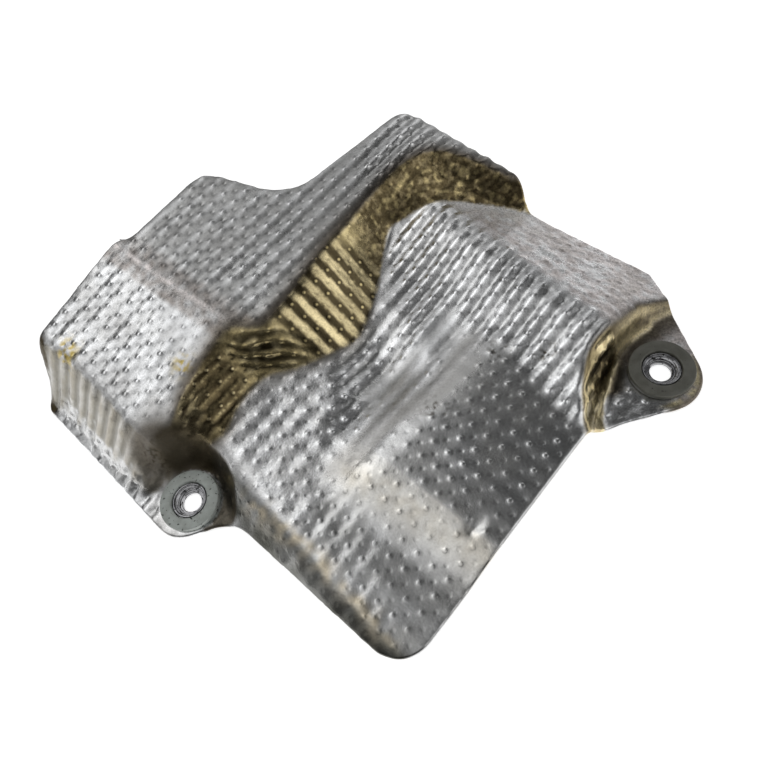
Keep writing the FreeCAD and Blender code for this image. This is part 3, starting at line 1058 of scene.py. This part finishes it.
    # riser: gold upper band, the arc with painted highlights on its wrinkles, painted shade in the lanes, between the
    # ridges and in the folds, and painted highlights on the stripes, ridges, flecks and dots
    tint(riser * ease((0.5 - in_top) / 2.5), gold)
    tint(arc, dull_gold)
    tint(arc * (1 + 0.8 * grain(1.4, 32)), brown)
    tint(arc * patches(1.7, 33, -0.45, 1) * 1.5, gold)
    lane = ease(0.62 + 1.25 * np.cos(2 * math.pi * u) + 0.3 * grain(1.8, 36))
    tint(0.85 * np.clip(1.6 * back, 0, 1) * (1 - lane), gold_highlight)
    tint(front * (1 - 0.75 * ridge), umber_shade)
    tint(front * ridge ** 2 * patches(4, 34, 0.3, 0.7), gold_highlight)
    tint(joint * (0.75 - 0.75 * fold), umber_shade)
    lobe_end = blob(x, y, front_lobe_end, 8)
    tint(0.4 * front * (1 - lobe_end), brown)
    tint(1.3 * front * lobe_end * patches(2.2, 30, 0.5, 1.6), gold_highlight)
    tint(0.5 * (riser - arc) * (1 - front) * np.clip(mottle - 0.2, 0, 1), gold_highlight)
    dot_shine = pip(to_dot(u, v, 0), dot_shine_radii)
    tint(0.7 * (riser - arc) * dot_shine, gold_highlight)
    tint(0.35 * riser * patches(9, 28, 0.3, 0.8), brown)
    shaded_lane = np.clip(1.9 * back, 0, 1) * lane
    tint(0.97 * shaded_lane, soot_and_shade)
    tint(shaded_lane * dot_shine, gold)
    # painted shadow in the corner by the left washer, and black specks there
    beside_washer = past_bolt(x, y, left_bolt, washer_outer_radius, 2)
    tint(0.85 * np.clip(1.4 * blob(x, y, corner_shade, 12, 0.8), 0, 1) * beside_washer, shade_brown)
    tint(0.97 * np.clip(2.2 * blob(x, y, corner_shadow, 10.5, 0.75), 0, 1) * beside_washer, soot_and_shade)
    tint(blob(x, y, corner_specks, 5) * patches(1, 37, -1.5, 4), soot_and_shade)
    # pocket round the left washer, dark with soot and painted shade, with a painted highlight
    pocket = past_bolt(x, y, left_bolt, washer_outer_radius, 1) * past(x, -99, 3)
    pocket = pocket * (1 - past_bolt(x, y, left_bolt, 21.5, 2))
    tint(0.92 * pocket * past(y, -17, 3), soot_and_shade)
    tint(0.6 * pocket * blob(x, y, pocket_gleam, 5, 0.3, -1), dull_gold)
    # right wall, with painted shade along its top edge and painted highlights on it and at its foot, painted shadow on
    # the pad at its foot, and the tab's gold lip
    wall = past(in_wall, -1, 2) * ease((1 - in_pad) / 2) * past(x, 55, 8)
    right = right_share(x)
    tint(0.95 * right * np.exp(np.minimum(in_wall, 0) / 1.8) * (in_wall < 1), umber_shade)
    tint(wall, wall_gold)
    tint(0.6 * right * seam(in_wall, -0.4, 1.1), umber_shade)
    tint(0.5 * wall * patches(4, 31, 0.2, 0.9), brown)
    tint(0.9 * wall * past(in_wall, 1.8, 1.4) * past(y, -4, 8), brown)
    tint(wall * seam(in_wall, 2.2, 1) * patches(3, 35, 0.5, 0.9), gold_highlight)
    tint(wall * blob(x, y, wall_gleam, 7) * np.clip(0.3 + mottle, 0, 1), gold_highlight)
    tint(0.97 * right * ease(in_pad) * np.exp(-(in_pad / 8.5) ** 4) * past(y, -9, 6), soot_and_shade)
    tint(right * seam(in_pad, -0.2, 0.9), gold_highlight)
    tint(0.5 * blob(x, y, pad_shade, 8), shade_brown)
    lip = past(x, 92, 8) * ease((6 - y) / 6)
    tint(0.8 * lip * ease((3.6 - in_sheet) / 1.5), brown)
    tint(lip * seam(in_sheet, 2.6, 0.9), lip_gold)
    # painted shadow under the hem at the far left
    for centre, radius, share, fade in hem_shadows:
        tint(share * blob(x, y, centre, radius) * ease((4.2 - in_sheet) / fade), soot_and_shade)

    by_riser = (1 - riser) * edge_run * np.exp(-np.maximum(-in_foot, 0) / 9) * (1 - 0.8 * striped)
    corner = np.clip(1.3 * blob(x, y, corner_dull, 12, 0.9), 0, 1)
    crease = np.clip(1.2 * band(x, y, plateau_crease, 5), 0, 1)
    roughness = 0.20 + 0.03 * smudge + 0.10 * outer + 0.12 * arc + 0.15 * pocket + 0.12 * by_riser + 0.4 * corner
    roughness += 0.14 * band(x, y, slab_crease, 7) + 0.16 * band(x, y, bowl_flank, 7)
    grit = 0.30 + 0.35 * crease + 0.40 * outer + 0.35 * arc + 0.1 * flange + 0.2 * pocket - 0.15 * slab
    metallic = 1 - 0.45 * outer - 0.30 * crease - 0.45 * by_riser * outer - 0.6 * corner
    wear = np.column_stack([metallic, grit, 0.25 + 0.9 * (grit - 0.2), np.ones(len(x))])
    return np.clip(np.column_stack([colour, roughness]), 0.02, 1), np.clip(wear, 0, 1)


points, flats, faces = panel_mesh()
panel = new_object("panel_skin", points, faces, aluminium())
for name, values in zip(("tone", "wear"), tones(flats)):
    panel.data.color_attributes.new(name, "FLOAT_COLOR", "POINT").data.foreach_set("color", values.ravel())
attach(panel, "root")
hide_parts("heat_shield_panel")


# --- washers and sleeves ---
def turned(name, bolt, profile, wobble, seed, material):
    """A body of revolution round a bolt from a closed profile of radius and height."""
    angles = 2 * math.pi * np.arange(turned_steps) / turned_steps
    rows = []
    for k, (radius, height) in enumerate(profile):
        x, y = radius * np.cos(angles), radius * np.sin(angles)
        shift = wobble * noise(x + 7 * k, y, 4.0, seed)
        rows.append(np.stack([
            bolt[0] + x * (1 + shift / radius), bolt[1] + y * (1 + shift / radius),
            np.full(turned_steps, float(height))], -1))
    numbers = np.arange(len(profile) * turned_steps).reshape(len(profile), turned_steps)
    faces = []
    for k in range(len(profile)):
        faces += strip(numbers[k], numbers[(k + 1) % len(profile)])
    made = new_object(name, np.vstack(rows), faces, material)
    made.data.set_sharp_from_angle(angle=math.radians(38))
    return made


# Profiles, as radius and height: first up from the seat, then down from the washer's top
washer_seat = [
    (washer_bore_radius, 0.0), (washer_outer_radius - 0.5, 0.0), (washer_outer_radius - 0.15, 0.12),
    (washer_outer_radius, 0.45)]
washer_drops = [
    (washer_outer_radius, 0.5), (washer_outer_radius - 0.15, 0.17), (washer_outer_radius - 0.5, 0.03), (10.5, 0.0),
    (washer_bore_radius + 0.8, 0.0), (washer_bore_radius + 0.45, 0.06), (washer_bore_radius + 0.1, 0.35),
    (washer_bore_radius, 0.7)]
sleeve_foot = [
    (bolt_hole_radius, 0.0), (sleeve_flange_radius - 0.2, 0.0), (sleeve_flange_radius, 0.2),
    (sleeve_flange_radius, sleeve_flange_thickness), (7.4, sleeve_flange_thickness)]
sleeve_drops = [
    (7.4, 1.0), (7.3, 0.75), (7.05, 0.65), (6.85, 0.7), (6.65, 1.0), (6.55, 1.5), (6.35, 1.65), (6.05, 1.65),
    (5.85, 1.8), (5.75, 2.5), (5.6, 2.65), (5.35, 2.65), (5.2, 2.8)]
sleeve_floor = [
    (5.15, sleeve_floor_thickness), (4.5, sleeve_floor_thickness), (bolt_hole_radius, sleeve_floor_thickness - 0.2)]
washer_profile = [(r, pad_top + h) for r, h in washer_seat] + [(r, washer_top - h) for r, h in washer_drops]
sleeve_profile = sleeve_foot + [(r, washer_top - h) for r, h in sleeve_drops] + sleeve_floor
green_steel = steel(
    "left_washer_steel", colour=(0.52, 0.56, 0.53), dark=(0.40, 0.43, 0.40), roughness=0.5, metallic=0.15, specks=0.33)
dark_steel = steel(
    "right_washer_steel", colour=(0.155, 0.155, 0.135), dark=(0.12, 0.12, 0.10), roughness=0.45, metallic=0.3,
    specks=0.27)
cup_steel = steel(
    "sleeve_steel", colour=(0.42, 0.42, 0.43), dark=(0.22, 0.22, 0.23), roughness=0.25, metallic=1.0, specks=0.36)
for side, bolt, finish in (("left", left_bolt, green_steel), ("right", right_bolt, dark_steel)):
    washer = turned(side + "_washer_turned", bolt, washer_profile, 0.06, 41, finish)
    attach(washer, "root")
    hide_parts(side + "_washer")
for side, bolt in (("left", left_bolt), ("right", right_bolt)):
    sleeve = turned(side + "_sleeve_turned", bolt, sleeve_profile, 0.02, 43, cup_steel)
    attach(sleeve, "root")
    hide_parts(side + "_sleeve")

# --- stage: a pale glowing floor just below the part ---
floor_reach = 3.0
floor_height = -0.05 * MM
floor_glow = 0.72
floor_corners = [(i * floor_reach, j * floor_reach, floor_height) for i, j in ((-1, -1), (1, -1), (1, 1), (-1, 1))]
floor_mesh = bpy.data.meshes.new("floor")
floor_mesh.from_pydata(floor_corners, [], [(0, 1, 2, 3)])
floor = bpy.data.objects.new("floor", floor_mesh)
floor_material, floor_tree, floor_shader = nodes_of("pale_floor")
feed(floor_tree, floor_shader, {
    "Base Color": (0.93, 0.93, 0.93, 1), "Roughness": 0.8, "Emission Color": (1, 1, 1, 1),
    "Emission Strength": floor_glow})
floor_mesh.materials.append(floor_material)
bpy.context.scene.collection.objects.link(floor)

# --- studio: dim overhead, brighter at the horizon, with broad soft lights ---
overhead_light = 0.06
horizon_light = 0.05
soft_lights = ((-170, 62, 44, 0.52), (150, 55, 26, 0.79), (130, 52, 16, 0.24), (126, 59, 20, 0.50),
               (103, 44, 34, 0.46), (114, 63, 16, 0.34), (178, 12, 28, 0.45), (-170, 2, 42, 0.20),
               (-155, 68, 24, 0.16), (52, 14, 44, 0.36), (63, 43, 19, 0.70), (178, 34, 22, 0.22),
               (-25, 38, 46, 1.15))  # azimuth, elevation and reach in degrees, strength
world = bpy.data.worlds.new("studio")
bpy.context.scene.world = world
world.use_nodes = True
sky = world.node_tree
sky_direction = added(sky, "TexCoord", {})["Generated"]


def sky_math(operation, *values):
    return added(sky, "Math", dict(enumerate(values)), operation=operation)["Value"]


def soft_light(azimuth, elevation, reach, strength):
    """A broad light round a direction, gone at the reach."""
    azimuth, elevation = math.radians(azimuth), math.radians(elevation)
    direction = (math.cos(elevation) * math.cos(azimuth), math.cos(elevation) * math.sin(azimuth), math.sin(elevation))
    toward = added(sky, "VectorMath", {0: sky_direction, 1: direction}, operation="DOT_PRODUCT")["Value"]
    edge = math.cos(math.radians(reach))
    share = sky_math("MAXIMUM", sky_math("DIVIDE", sky_math("SUBTRACT", toward, edge), 1 - edge), 0.0)
    return sky_math("MULTIPLY", sky_math("POWER", share, 2.0), strength)


rise = added(sky, "SeparateXYZ", {"Vector": sky_direction})["Z"]
low = sky_math("SUBTRACT", 1.0, sky_math("MAXIMUM", rise, 0.0))
light = sky_math("ADD", overhead_light, sky_math("MULTIPLY", sky_math("POWER", low, 2.0), horizon_light))
for values in soft_lights:
    light = sky_math("ADD", light, soft_light(*values))
feed(sky, sky.nodes["Background"], {"Color": light})
bpy.context.scene.view_settings.view_transform = "Standard"

# --- camera ---
camera_place = Vector((3.07, -107.69, 246.68)) * MM
camera_right = Vector((0.9612, -0.2154, -0.1716))
camera_up = Vector((0.2715, 0.8453, 0.4600))
camera_data = bpy.data.cameras.new("camera")
camera_data.lens = 30.0
camera_data.sensor_width = 36.0
camera_data.clip_start = 0.01
camera = bpy.data.objects.new("camera", camera_data)
camera_back = camera_right.cross(camera_up)
camera_turn = Matrix((camera_right, camera_up, camera_back)).transposed().to_4x4()
camera.matrix_world = Matrix.Translation(camera_place) @ camera_turn
bpy.context.scene.collection.objects.link(camera)
bpy.context.scene.camera = camera
